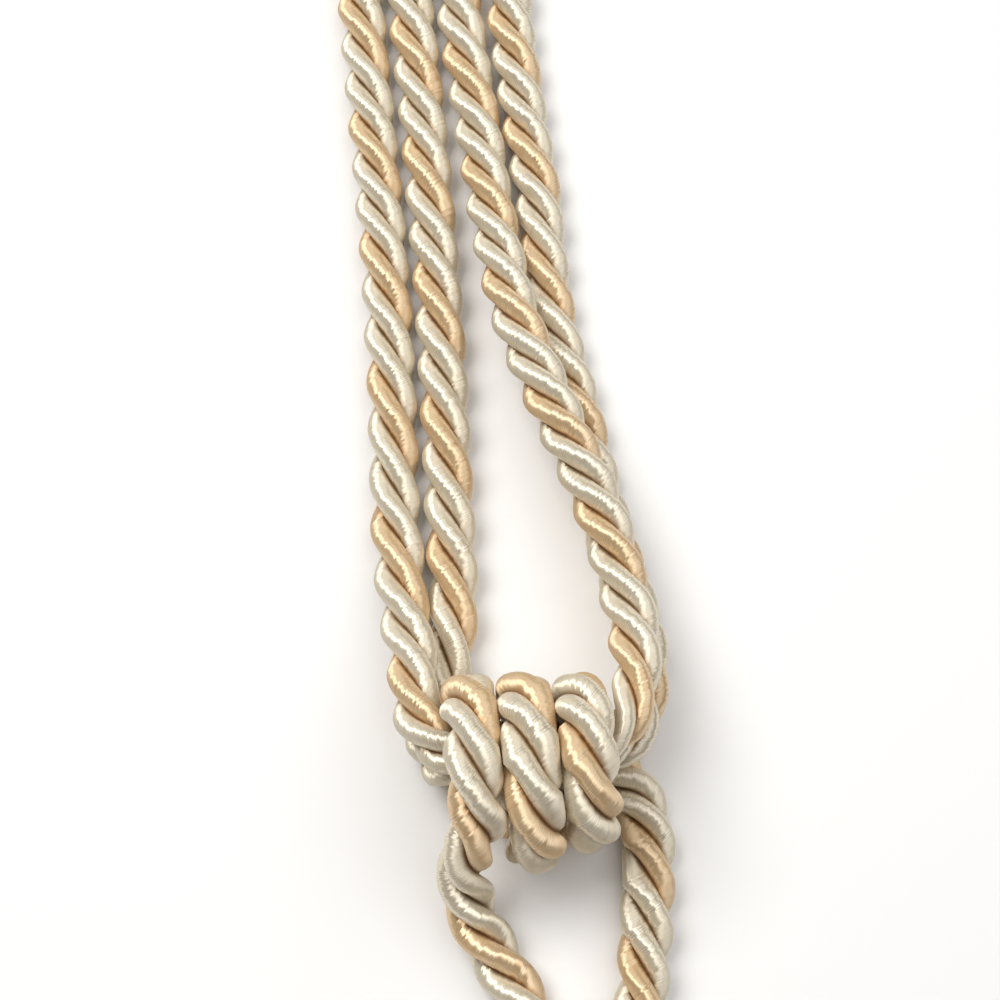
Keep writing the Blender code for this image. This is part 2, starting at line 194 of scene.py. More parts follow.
LEFT_LOOP_DOWN = (
    (-12.9, 391.0, REST_HEIGHT, 1.0),
    (-13.0, 368.0, REST_HEIGHT, 1.0),
    (-16.4, 320.0, REST_HEIGHT, 1.0),
    (-21.4, 260.0, REST_HEIGHT, 1.0),
    (-22.9, 210.0, REST_HEIGHT, 1.0),
    (-20.3, 174.6, REST_HEIGHT, 1.0),
    (-16.5, 137.4, REST_HEIGHT, 1.0),
    (-13.3, 102.1, REST_HEIGHT, 1.0),
    (-11.3, 68.6, REST_HEIGHT, 1.0),
    (-10.3, 50.0, REST_HEIGHT, 1.0),
    (-9.8, 38.0, REST_HEIGHT, 1.0),
    (-10.2, 29.0, REST_HEIGHT, 1.0),
    (-11.8, 20.5, REST_HEIGHT, 1.0),
    (-13.5, 13.0, 5.0, 0.98),
    (-13.8, 7.6, 6.2, 0.93),
    (-12.2, 3.4, 9.2, 0.86),
    (-8.6, 1.2, 12.4, 0.78),
    (-4.0, 0.5, 13.5, GRIPPED),
    (0.5, 0.4, 13.6, GRIPPED),
    (4.8, 0.6, 13.6, GRIPPED),
)

# Routes of the hanging cord's two ends, between the tassel and the wraps.
TAIL_TO_FIRST_WRAP = (
    (11.65, -80.8, 17.5, 1.0),
    (11.65, -79.0, 17.5, 1.0),
    (11.6, -75.0, 16.9, 1.0),
    (11.5, -70.5, 14.6, 1.0),
    (11.2, -65.5, 11.3, 1.0),
    (10.3, -59.5, 7.9, 1.0),
    (8.2, -51.5, 5.5, 1.0),
    (3.6, -40.5, REST_HEIGHT, 1.0),
    (-2.0, -31.0, 5.2, 1.0),
    (-5.4, -24.6, 7.6, 1.0),
    (-7.0, -19.2, 12.4, 1.0),
    (-6.6, -15.6, 18.8, 0.97),
)
TAIL_FROM_LAST_WRAP = (
    (20.9, 4.4, 5.2, 0.96),
    (23.5, 0.9, REST_HEIGHT, 0.98),
    (25.7, -1.9, REST_HEIGHT, 1.0),
    (27.4, -6.2, REST_HEIGHT, 1.0),
    (28.2, -12.2, REST_HEIGHT, 1.0),
    (27.6, -23.6, REST_HEIGHT, 1.0),
    (26.6, -34.5, REST_HEIGHT, 1.0),
    (26.1, -40.5, REST_HEIGHT, 1.0),
    (24.4, -51.5, 5.5, 1.0),
    (23.3, -59.5, 7.9, 1.0),
    (22.6, -65.5, 11.3, 1.0),
    (22.4, -70.5, 14.6, 1.0),
    (22.35, -75.0, 16.9, 1.0),
    (22.35, -79.0, 17.5, 1.0),
    (22.35, -80.8, 17.5, 1.0),
)

# How the twist goes on: distance along the cord, and turns made since the gold ply stood at
# the angle above the table. It is in degrees round the cord, from the direction across it.
LOOP_GOLD_AT = 155.0
LOOP_TURNS = (
    (0.0, -4.6),
    (131.0, 0.0),
    (159.5, 1.0),
    (187.0, 2.0),
    (754.5, 21.48),
    (783.5, 22.46),
    (808.5, 23.46),
    (838.0, 24.48),
    (910.0, 26.95),
    (946.0, 27.96),
    (978.0, 28.96),
    (1008.5, 29.96),
    (1037.0, 30.96),
    (1067.0, 31.96),
    (1747.5, 54.6),
)
HANGING_GOLD_AT = 205.0
HANGING_TURNS = (
    (0.0, -6.0),
    (175.0, 0.0),
    (204.0, 1.0),
    (268.1, 3.133),
    (324.1, 5.431),
    (349.6, 6.439),
    (401.0, 8.45),
)
TURNS_EASED_OVER = 14.0
EASING_SAMPLES = 9

# ---- the tassel ----
TASSEL_X = 17.0
HEAD_TOP_Y = -81.3
HEAD_AXIS_HEIGHT = 17.5
HEAD_OUTLINE = (
    # distance down the axis, radius, share of the ribs' height
    (0.0, 10.7, 0.0),
    (-0.9, 11.1, 0.5),
    (-0.6, 11.9, 1.0),
    (0.9, 12.3, 1.0),
    (3.4, 12.4, 1.0),
    (6.0, 11.8, 0.9),
    (7.2, 10.7, 0.4),
    (8.6, 11.5, 0.7),
    (10.8, 14.2, 1.0),
    (14.4, 16.6, 1.0),
    (19.4, 17.6, 1.0),
    (24.0, 17.6, 1.0),
    (28.8, 16.8, 1.0),
    (32.6, 14.9, 1.0),
    (35.0, 12.3, 0.6),
    (39.0, 12.1, 0.2),
    (43.2, 12.3, 0.4),
    (43.9, 13.5, 1.0),
    (46.6, 13.9, 1.0),
    (47.4, 13.3, 1.0),
)
HEAD_CLOSED_TO = 0.02  # radius of what is left open in the middle of the head's ends
HEAD_STEP = 0.6
HEAD_RIBS = 84
POINTS_A_RIB = 4
HEAD_RIB_HEIGHT = 0.13
HEAD_CREASE = 60.0  # degrees between faces from which an edge stays sharp
HEAD_THREAD_SPAN = 90.0  # a thread's length on the head, as the threads' own coordinate counts it
GOLD_BEAD_TO = 7.2
GOLD_RUFF_FROM = 43.4
NECK_FROM = 35.6
NECK_TURNS = 2.97
NECK_POINTS_A_TURN = 30
NECK_PITCH = 2.43
NECK_CORD_SIZE = 0.245  # against the main cord
NECK_CORD_AT = 13.75  # from the head's axis to the middle of the neck cord
NECK_LAY = 7.2
NECK_RING_STEP = 0.45
SKIRT_RADIUS = 12.6  # of the bunch of strands where it leaves the head
SKIRT_FROM = 46.2
SKIRT_SEED = 5
STRAND_PITCH = 1.62
STRAND_RADIUS = 0.78
STRAND_LENGTH = 104.0
STRAND_UNEVEN = 1.0  # how far a strand is cut longer or shorter than its neighbours
STRAND_RINGS = 62
STRAND_SIDES = 6
STRAND_PINCH = 0.34  # how far the two plies of a strand draw in between them
STRAND_LAY = 9.0
STRAND_SWAY = 0.5
SWAY_LENGTHS = (31.0, 53.0)
SWAY_UP = 0.5  # a strand sways up and down by this share of its sway to the sides
TIP_BLUNTNESS = 0.12
TIP_LENGTH = 1.5  # of the rounded end, as a multiple of the strand's radius
STRAND_THREAD_PITCH = 0.24
STRAND_THREAD_LEAN = 0.6  # against the thread of the cords
STRAND_THREAD_SPAN = 150.0  # a thread's length in a strand, as the threads' own coordinate counts it
GOLD_STRANDS = 0.34  # share of the strands that are gold
SHORTER_UNDER = 7.0  # how much shorter the lowest strands are than the top ones
DOWN_BY = 0.62  # share of a strand's length where it has come down to lie flat
SKIRT_SPREAD = 2.05  # width of the skirt's end over its width at the head
SPREAD_CURVE = 1.1  # 1 spreads the skirt evenly, and more spreads it towards its end
LAYER_HEIGHT = 0.86  # of one layer of strands, where they lie on the surface

# ---- satin ----
# light and middle colours of the thread, the colour of the painted shade in its creases and in the gaps
# between threads, and the tint of its gleam
IVORY = ((0.895, 0.82, 0.655), (0.79, 0.695, 0.515), (0.29, 0.17, 0.07), (1.0, 0.99, 0.96))
GOLD = ((0.88, 0.665, 0.415), (0.745, 0.505, 0.265), (0.38, 0.175, 0.042), (1.0, 0.98, 0.86))
THREAD_UV = "thread"
THREAD_PITCH = 0.36
THREAD_SLANT = 0.3  # how far a thread runs on along the ply between the ply's middle and its edge
THREAD_WANDER = 0.5
WANDERS_A_MM = 0.9
THREAD_LEAN = 0.12  # of each thread for itself
THREAD_ROUND = 0.12
# painted shade in the gaps between threads
THREAD_GAP = 0.6
THREAD_GAP_FROM = 0.25  # from a thread's middle, where its edges are at 0.5
THREAD_GAP_RARITY = 3.0  # the higher, the fewer threads have painted shade in the gap beside them
BUNCHES_A_MM = 0.4
BUNCH_DETAIL = 2.0
BUNCH_LEAN = 0.08  # of neighbouring threads together
PATCHES_A_MM = 0.12
PATCH_PLACE = 4.0  # where the pattern of the patches is cut, so that it isn't the one of the bunches
PATCH_RANGE = (0.35, 0.7)
PATCH_STRENGTH = 0.3
CREASE_FROM = 0.71  # where the painted crease shade sets in, from a ply's middle, where the crease beside it is at 1
# metallic in the painted crease shade, so that it stays dark
CREASE_METALLIC = 0.7
SATIN_ROUGHNESS = 0.45
SATIN_METALLIC = 0.38
SATIN_IOR = 2.25
SATIN_SPECULAR = 1.0
SATIN_ANISOTROPY = 1.0
SATIN_SHEEN = 0.1
SHEEN_ROUGHNESS = 0.4
# sockets that carry colours on the node that mixes two values
MIX_FIRST, MIX_SECOND, MIX_RESULT = 6, 7, 2


# ---------------------------------------------------------------- routes

def smooth_route(rows, step):
    """A smooth curve through the rows, as points a step apart. Each row is x, y, z, share of radius."""
    rows = np.array(rows, float)
    rows = np.vstack([2 * rows[0] - rows[1], rows, 2 * rows[-1] - rows[-2]])
    knots = np.zeros(len(rows))
    knots[1:] = np.cumsum(np.sqrt(np.linalg.norm(np.diff(rows[:, :3], axis=0), axis=1)))
    dense = []
    for k in range(1, len(rows) - 2):
        t0, t1, t2, t3 = knots[k - 1 : k + 3]
        p0, p1, p2, p3 = rows[k - 1 : k + 3]
        for t in np.linspace(t1, t2, ROUTE_DENSITY, endpoint=False):
            a1 = ((t1 - t) * p0 + (t - t0) * p1) / (t1 - t0)
            a2 = ((t2 - t) * p1 + (t - t1) * p2) / (t2 - t1)
            a3 = ((t3 - t) * p2 + (t - t2) * p3) / (t3 - t2)
            b1 = ((t2 - t) * a1 + (t - t0) * a2) / (t2 - t0)
            b2 = ((t3 - t) * a2 + (t - t1) * a3) / (t3 - t1)
            dense.append(((t2 - t) * b1 + (t - t1) * b2) / (t2 - t1))
    dense = np.array(dense + [rows[-2]])
    along = np.zeros(len(dense))
    along[1:] = np.cumsum(np.linalg.norm(np.diff(dense[:, :3], axis=0), axis=1))
    stations = np.linspace(0, along[-1], max(2, round(along[-1] / step)) + 1)
    return np.column_stack([np.interp(stations, along, dense[:, c]) for c in range(4)]), stations


def carried_frames(line):
    """Directions across and over a line, turned no more than the line itself turns."""
    along = np.gradient(line, axis=0)
    along /= np.linalg.norm(along, axis=1)[:, None]
    across = [np.cross(along[0], (0.0, 0.0, 1.0))]
    across[0] /= np.linalg.norm(across[0])
    for k in range(1, len(line)):
        kept = across[-1] - along[k] * (across[-1] @ along[k])
        across.append(kept / np.linalg.norm(kept))
    across = np.array(across)
    return across, np.cross(along, across)


def wrap_point(angle):
    """A point of the wraps, from the angle turned since the underside of the first one."""
    turn = math.radians(angle)
    drawn_from = 360.0 * (WRAPS - 1) - DRAWN_IN_OVER
    drawn = LAST_WRAP_DRAWN_IN / 2 * min(1.0, max(0.0, (angle - drawn_from) / DRAWN_IN_OVER))
    x = WRAP_PITCH * (turn / (2 * math.pi) - FIRST_WRAP_FROM)
    x += WRAP_SLANT * (math.cos(turn) + math.cos(3 * turn) / SLANT_FLATTENING)
    y = drawn - (WRAP_BEND - drawn) * math.cos(turn)
    rise = WRAP_BEND - DRAWN_IN_FLATTER * drawn * max(0.0, math.sin(turn))
    z = WRAP_CENTRE_HEIGHT + rise * math.sin(turn)
    radius = WRAP_MIDDLE_RADIUS + WRAP_FRONT_SWELL * math.sin(turn)
    return x, y, z, WRAP_PLUMPNESS * radius / CORD_RADIUS


def wraps():
    """Route of the hanging cord round the loops."""
    count = round((LAST_WRAP_ANGLE - FIRST_WRAP_ANGLE) / WRAP_ANGLE_STEP)
    return tuple(wrap_point(a) for a in np.linspace(FIRST_WRAP_ANGLE, LAST_WRAP_ANGLE, count + 1))


def eased(stations, turns):
    """Turns made at each station, with the steps between the table's rows eased out."""
    table = np.array(turns)
    total = np.zeros(len(stations))
    for shift in np.linspace(-TURNS_EASED_OVER, TURNS_EASED_OVER, EASING_SAMPLES):
        total += np.interp(stations + shift, table[:, 0], table[:, 1])
    inside = total / EASING_SAMPLES
    edge = np.minimum(stations, stations[-1] - stations) / TURNS_EASED_OVER
    edge = np.clip(edge, 0, 1)
    return inside * edge + np.interp(stations, table[:, 0], table[:, 1]) * (1 - edge)


def laid_up(turns, gold_at):
    """The gold ply's angle along a cord whose twist is uneven, from its table of turns."""
    return lambda stations: math.radians(gold_at) - 2 * math.pi * eased(stations, turns)


def evenly_laid_up(lay):
    """The first ply's angle along a cord whose twist is even."""
    return lambda stations: -2 * math.pi * stations / lay


# ---------------------------------------------------------------- meshes

def new_object(name, points, faces, finishes, face_finish=None, uv=None, crease=180.0):
    """A smooth-shaded mesh object from points in millimetres, with edges sharper than crease left sharp."""
    mesh = bpy.data.meshes.new(name)
    mesh.from_pydata((np.asarray(points) * MM).tolist(), [], faces)
    for finish in finishes:
        mesh.materials.append(finish)
    if face_finish is not None:
        mesh.polygons.foreach_set("material_index", face_finish)
    if uv is not None:
        layer = mesh.uv_layers.new(name=THREAD_UV)
        layer.data.foreach_set("uv", np.asarray(uv, np.float32).ravel())
    mesh.shade_smooth()
    mesh.set_sharp_from_angle(angle=math.radians(crease))
    mesh.update()
    made = bpy.data.objects.new(name, mesh)
    bpy.context.scene.collection.objects.link(made)
    return made


def tube_faces(rings, sides, first=0):
    """Faces that join rings of points, in the order that points them outwards."""
    faces = []
    for ring in range(rings - 1):
        low, high = first + ring * sides, first + (ring + 1) * sides
        for side in range(sides):
            after = (side + 1) % sides
            faces.append((low + side, low + after, high + after, high + side))
    return faces


# ---------------------------------------------------------------- twisted cords

def lobe_outline():
    """Angle from a ply's middle, reach from the cord's axis and distance round, across one ply's back."""
    centre = CORD_RADIUS - LOBE_RADIUS
    half = math.pi / PLIES
    angles = np.linspace(-half, half, LOBE_POINTS + 1)
    reach = centre * np.cos(angles) + np.sqrt(LOBE_RADIUS**2 - (centre * np.sin(angles)) ** 2)
    steps = np.hypot(np.diff(reach), reach[1:] * np.diff(angles))
    around = np.concatenate([[0.0], np.cumsum(steps)])
    return angles, reach, around - around[-1] / 2


def swelling(stations, seed):
    """A slow uneven swelling along a ply, about 1."""
    chance = np.random.default_rng(seed)
    value = np.ones(len(stations))
    for length in SWELL_LENGTHS:
        value += UNEVEN / 2 * np.sin(2 * math.pi * (stations / length + chance.random()))
    return value


def between(stations, start, end):
    """1 between the start and the end of a stretch, and eased to 0 at both."""
    opened = np.clip((stations - start) / PRESSED_OVER, 0, 1)
    return opened * np.clip((end - stations) / PRESSED_OVER, 0, 1)


def wrap_neighbours(stations):
    """How closely the wraps press on each other, on the side of lower x and of higher x."""
    turn = 2 * math.pi * math.hypot(WRAP_BEND, WRAP_PITCH / (2 * math.pi))
    low = between(stations, TAIL_LENGTH + (1 - UNPRESSED) * turn, TAIL_LENGTH + WRAPS * turn)
    high = between(stations, TAIL_LENGTH, TAIL_LENGTH + (WRAPS - 1 - UNPRESSED) * turn)
    return np.column_stack([low, high])


def pressed(points, centre, neighbours):
    """Flatten the wraps where they lie against each other, so that each fills its own share of the knot."""
    for ring in range(len(centre)):
        beside = points[ring] - centre[ring]
        for side, weight in zip((-1.0, 1.0), neighbours[ring]):
            reach = (side * beside[:, 0]).max()
            fill = 1 + weight * PRESSED_FILL * (WRAP_PITCH / 2 / reach - 1)
            facing = side * beside[:, 0] > 0
            points[ring, facing, 0] = centre[ring, 0] + fill * beside[facing, 0]


def ply_backs(centre, share, gold, swells):
    """Rings of points round the cord, ply by ply. The first ply's middle is at the angle gold."""
    across, over = carried_frames(centre)
    angles, reach, _ = lobe_outline()
    points = np.zeros((len(centre), PLIES * LOBE_POINTS, 3))
    for ply, swell in enumerate(swells):
        for k in range(LOBE_POINTS):
            turn = gold + 2 * math.pi * ply / PLIES + angles[k]
            length = reach[k] * share * (1 + (swell - 1) * math.cos(PLIES / 2 * angles[k]))
            side = ply * LOBE_POINTS + k
            points[:, side] = centre + (length * np.cos(turn))[:, None] * across
            points[:, side] += (length * np.sin(turn))[:, None] * over
    return points


def thread_places(stations, gold, size):
    """Where each face's corners lie among the threads: along the ply in mm, and across its back."""
    around = lobe_outline()[2]
    edge = np.linspace(-1.0, 1.0, LOBE_POINTS + 1)
    sideways = size * (CORD_RADIUS - LOBE_RADIUS) * np.gradient(gold, stations)
    run = np.concatenate([[0.0], np.cumsum(np.hypot(1.0, sideways)[1:] * np.diff(stations))])
    lean = size * sideways / np.hypot(1.0, sideways)
    places = []
    for low, high, low_lean, high_lean in zip(run[:-1], run[1:], lean[:-1], lean[1:]):
        for ply in range(PLIES):
            low_run = low + PLY_SHIFT * ply + around * low_lean
            high_run = high + PLY_SHIFT * ply + around * high_lean
            for k in range(LOBE_POINTS):
                places += [(low_run[k], edge[k]), (low_run[k + 1], edge[k + 1])]
                places += [(high_run[k + 1], edge[k + 1]), (high_run[k], edge[k])]
    return places


def rope(name, rows, gold_angle, finishes, seed, ring_step=RING_STEP, size=1.0, neighbours=None):
    """A cord of three plump plies, the first one in the second finish; returns it with its centre line."""
    route, stations = smooth_route(rows, ring_step / 2)
    picked = np.linspace(0, stations[-1], round(stations[-1] / ring_step) + 1)
    centre = np.column_stack([np.interp(picked, stations, route[:, c]) for c in range(3)])
    share = size * np.interp(picked, stations, route[:, 3])
    gold = gold_angle(picked)
    swells = [swelling(picked / size, seed + ply) for ply in range(PLIES)]
    points = ply_backs(centre, share, gold, swells)
    if neighbours is not None:
        pressed(points, centre, neighbours(picked))
    points[:, :, 2] = np.maximum(points[:, :, 2], 0.0)

    sides = PLIES * LOBE_POINTS
    faces = tube_faces(len(picked), sides)
    face_finish = ([1] * LOBE_POINTS + [0] * (sides - LOBE_POINTS)) * (len(picked) - 1)
    uv = thread_places(picked, gold, size)

    # Both ends are closed, in the painted shade colour of the creases.
    points = list(points.reshape(-1, 3))
    for end in (0, len(picked) - 1):
        middle = len(points)
        points.append(centre[end])
        for side in range(sides):
            after = (side + 1) % sides
            corner = (middle, end * sides + after, end * sides + side)
            faces.append(corner if end == 0 else corner[::-1])
            face_finish.append(0)
            uv += [(0.0, 1.0)] * 3
    return new_object(name, points, faces, finishes, face_finish, uv, CORD_CREASE), centre


# ---------------------------------------------------------------- the tassel's pieces

def turned_point(distance, radius, angle):
    """A point on the tassel's head, from its distance down the axis and its angle about it."""
    return (
        TASSEL_X + radius * math.cos(angle),
        HEAD_TOP_Y - distance,
        HEAD_AXIS_HEIGHT + radius * math.sin(angle),
    )


def tassel_head(ivory, gold):
    """The turned head, covered with lengthwise threads that lie in fine ribs."""
    rows = [(distance, radius, 0.0, ribbed) for distance, radius, ribbed in HEAD_OUTLINE]
    outline, along = smooth_route(rows, HEAD_STEP)
    top = (outline[0][0], HEAD_CLOSED_TO, 0.0, 0.0)
    bottom = (outline[-1][0], HEAD_CLOSED_TO, 0.0, 0.0)
    along = np.concatenate([[along[0] - outline[0][1]], along, [along[-1] + outline[-1][1]]])
    outline = np.vstack([top, outline, bottom])
    sides = HEAD_RIBS * POINTS_A_RIB
    points = []
    for distance, radius, _, ribbed in outline:
        for side in range(sides):
            angle = 2 * math.pi * side / sides
            lift = HEAD_RIB_HEIGHT * ribbed * math.cos(HEAD_RIBS * angle)
            points.append(turned_point(distance, radius + lift, angle))
    faces = tube_faces(len(outline), sides)
    face_finish, uv = [], []
    widest = max(radius for _, radius, _ in HEAD_OUTLINE)
    width = 2 * math.pi * widest / sides
    for k in range(len(outline) - 1):
        middle = (outline[k][0] + outline[k + 1][0]) / 2
        golden = middle < GOLD_BEAD_TO or middle > GOLD_RUFF_FROM
        face_finish += [1 if golden else 0] * sides
        low, high = along[k] / HEAD_THREAD_SPAN, along[k + 1] / HEAD_THREAD_SPAN
        for side in range(sides):
            left, right = side * width, (side + 1) * width
            uv += [(left, low), (right, low), (right, high), (left, high)]
    return new_object("tassel_head", points, faces, (ivory, gold), face_finish, uv, HEAD_CREASE)


def skirt_roots():
    """Where the strands leave the head: across and up from its axis, and the layer they lie in.

    Neighbouring columns are staggered, so their strands take turns in the layers from the lowest up.
    """
    rows = int(SKIRT_RADIUS / STRAND_PITCH) + 2
    row_pitch = STRAND_PITCH * math.sqrt(3) / 2
    reach = SKIRT_RADIUS - STRAND_RADIUS
    roots = []
    for column in range(-2 * rows, 2 * rows + 1):
        across = column * STRAND_PITCH / 2
        if abs(across) <= reach:
            inside = [row for row in range(-rows, rows + 1) if math.hypot(across, row * row_pitch) <= reach]
            staggered = [row for row in inside if (row - column) % 2 == 0]
            roots += [(across, row * row_pitch, row - staggered[0] + column % 2) for row in staggered]
    return roots


def strand_line(across, up, layer, chance):
    """The middle of a strand: it leaves the head level, spreads, and comes down to lie flat."""
    rest = STRAND_RADIUS + LAYER_HEIGHT * layer
    start = HEAD_TOP_Y - SKIRT_FROM
    length = STRAND_LENGTH - SHORTER_UNDER * (1 - up / SKIRT_RADIUS) / 2
    length += chance.uniform(-STRAND_UNEVEN, STRAND_UNEVEN)
    share = np.linspace(0, 1, STRAND_RINGS)
    spread = 1 + (SKIRT_SPREAD - 1) * share**SPREAD_CURVE
    drop = np.minimum(1.0, share / DOWN_BY)
    drop = drop * drop * (3 - 2 * drop)  # eased at both ends
    height = (HEAD_AXIS_HEIGHT + up) * (1 - drop) + rest * drop
    sway = np.zeros((2, STRAND_RINGS))
    for wave in SWAY_LENGTHS:
        for side in range(2):
            sway[side] += np.sin(2 * math.pi * (share * length / wave + chance.random()))
    sway *= STRAND_SWAY * share
    return np.column_stack([
        TASSEL_X + across * spread + sway[0],
        start - length * share,
        np.maximum(height + SWAY_UP * sway[1], STRAND_RADIUS),
    ])


def strand_rings(line, reached, turn):
    """Rings of points along a strand: two plies twisted together, and a rounded tip."""
    across, over = carried_frames(line)
    corners = np.arange(STRAND_SIDES) * 2 * math.pi / STRAND_SIDES
    lobes = 1 - STRAND_PINCH * (1 - np.cos(2 * corners)) / 2
    rings = []
    for ring in range(STRAND_RINGS):
        from_tip = reached[-1] - reached[ring]
        blunt = min(1.0, math.sqrt(TIP_BLUNTNESS + from_tip / STRAND_RADIUS / TIP_LENGTH))
        twisted = corners + turn - 2 * math.pi * reached[ring] / STRAND_LAY
        radius = STRAND_RADIUS * lobes * blunt
        points = line[ring] + np.outer(radius * np.cos(twisted), across[ring])
        points += np.outer(radius * np.sin(twisted), over[ring])
        points[:, 2] = np.maximum(points[:, 2], 0.0)
        rings.extend(points)
    return rings


def skirt(ivory, gold):
    """The tassel's strands, in one mesh for each colour."""
    chance = np.random.default_rng(SKIRT_SEED)
    made = {"ivory": ([], [], []), "gold": ([], [], [])}
    width = 2 * math.pi * STRAND_RADIUS / STRAND_SIDES
    for number, root in enumerate(skirt_roots()):
        points, faces, uv = made["gold" if chance.random() < GOLD_STRANDS else "ivory"]
        line = strand_line(*root, chance)
        reached = np.concatenate([[0.0], np.cumsum(np.linalg.norm(np.diff(line, axis=0), axis=1))])
        first = len(points)
        points += strand_rings(line, reached, chance.random() * 2 * math.pi)
        last = len(points) - STRAND_SIDES
        faces += tube_faces(STRAND_RINGS, STRAND_SIDES, first)
        faces.append(tuple(range(first, first + STRAND_SIDES))[::-1])
        faces.append(tuple(range(last, last + STRAND_SIDES)))

        thread = number * STRAND_SIDES * 2  # keeps the threads of one strand apart from the next one's
        for low, high in zip(reached[:-1] / STRAND_THREAD_SPAN, reached[1:] / STRAND_THREAD_SPAN):
            for side in range(STRAND_SIDES):
                left, right = (thread + side) * width, (thread + side + 1) * width
                uv += [(left, low), (right, low), (right, high), (left, high)]
        uv += [(thread * width, 0.0)] * (2 * STRAND_SIDES)
    return [
        new_object(f"skirt_{tone}", points, faces, (finish,), uv=uv)
        for (tone, (points, faces, uv)), finish in zip(made.items(), (ivory, gold))
    ]


def neck_rows():
    """The neck cord's route: wound round and round, side by side."""
    turns = np.linspace(0, 2 * math.pi * NECK_TURNS, round(NECK_TURNS * NECK_POINTS_A_TURN) + 1)
    rows = []
    for turn in turns:
        distance = NECK_FROM + NECK_CORD_SIZE * CORD_RADIUS + turn / (2 * math.pi) * NECK_PITCH
        rows.append((*turned_point(distance, NECK_CORD_AT, turn - math.pi / 2), 1.0))
    return rows


# ---------------------------------------------------------------- shader nodes

def plug(tree, socket, value):
    """Give a socket a number, a colour or another socket's output."""
    if isinstance(value, tuple):
        socket.default_value = (*value, 1.0) if len(socket.default_value) == 4 else value
    elif isinstance(value, (int, float)):
        socket.default_value = value
    else:
        tree.links.new(value, socket)


def maths(tree, operation, *values):
    """What an operation makes of numbers or of other sockets' outputs."""
    node = tree.nodes.new("ShaderNodeMath")
    node.operation = operation
    for socket, value in zip(node.inputs, values):
        plug(tree, socket, value)
    return node.outputs[0]


def mixed(tree, share, first, second):
    """The first colour where the share is 0, the second where it is 1."""
    node = tree.nodes.new("ShaderNodeMix")
    node.data_type = "RGBA"
    plug(tree, node.inputs[0], share)
    plug(tree, node.inputs[MIX_FIRST], first)
    plug(tree, node.inputs[MIX_SECOND], second)
    return node.outputs[MIX_RESULT]


def place_vector(tree, x, y=0.0, z=0.0):
    node = tree.nodes.new("ShaderNodeCombineXYZ")
    for socket, value in zip(node.inputs, (x, y, z)):
        plug(tree, socket, value)
    return node.outputs[0]


def noise(tree, place, scale, detail=1.0):
    node = tree.nodes.new("ShaderNodeTexNoise")
    node.inputs["Scale"].default_value = scale
    node.inputs["Detail"].default_value = detail
    tree.links.new(place, node.inputs["Vector"])
    return node.outputs["Fac"]


def chance_for(tree, number):
    """A random value from 0 to 1 that is the same wherever the number is."""
    node = tree.nodes.new("ShaderNodeTexWhiteNoise")
    node.noise_dimensions = "1D"
    tree.links.new(number, node.inputs["W"])
    return node.outputs["Value"]


def ramped(tree, value, low, high):
    """0 up to low, 1 from high on, and eased in between."""
    node = tree.nodes.new("ShaderNodeMapRange")
    node.interpolation_type = "SMOOTHSTEP"
    node.inputs["From Min"].default_value = low
    node.inputs["From Max"].default_value = high
    tree.links.new(value, node.inputs["Value"])
    return node.outputs["Result"]


def swung(tree, value, by):
    """A value from 0 to 1, made into one from minus half of by to plus half of by."""
    return maths(tree, "MULTIPLY", maths(tree, "SUBTRACT", value, 0.5), by)


# ---------------------------------------------------------------- materials

def new_material(name):
    """A material with its node tree and its shader."""
    made = bpy.data.materials.new(name)
    made.use_nodes = True
    return made, made.node_tree, made.node_tree.nodes["Principled BSDF"]


